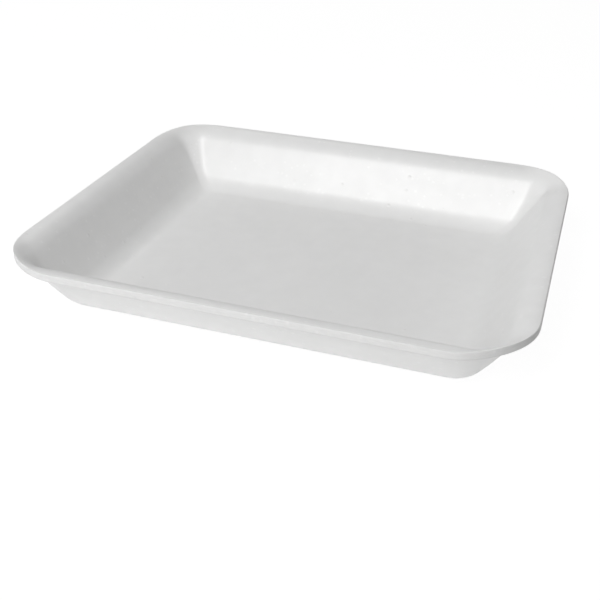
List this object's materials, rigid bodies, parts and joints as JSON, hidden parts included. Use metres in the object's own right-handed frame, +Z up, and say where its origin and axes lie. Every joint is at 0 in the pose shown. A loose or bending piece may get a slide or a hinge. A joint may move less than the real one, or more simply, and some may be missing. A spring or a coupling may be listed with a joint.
{
  "type": "foam tray",
  "caption": "Shallow rectangular food tray of moulded foam, with sloping walls, rounded corners and a turned-over lip with a plain cut edge.",
  "frame": {"origin": "centre of the underside, on the surface that the tray stands on", "axes": "+X along the long side, +Y along the short side, +Z up out of the open well"},
  "size_m": [0.225, 0.186, 0.032],
  "materials": {
    "foam": "white expanded polystyrene foam with a thin moulded skin, satin to matt, fine cell grain, open cells at the cut edge"
  },
  "bodies": {
    "root": {"tray": "foam"}
  },
  "joints": []
}
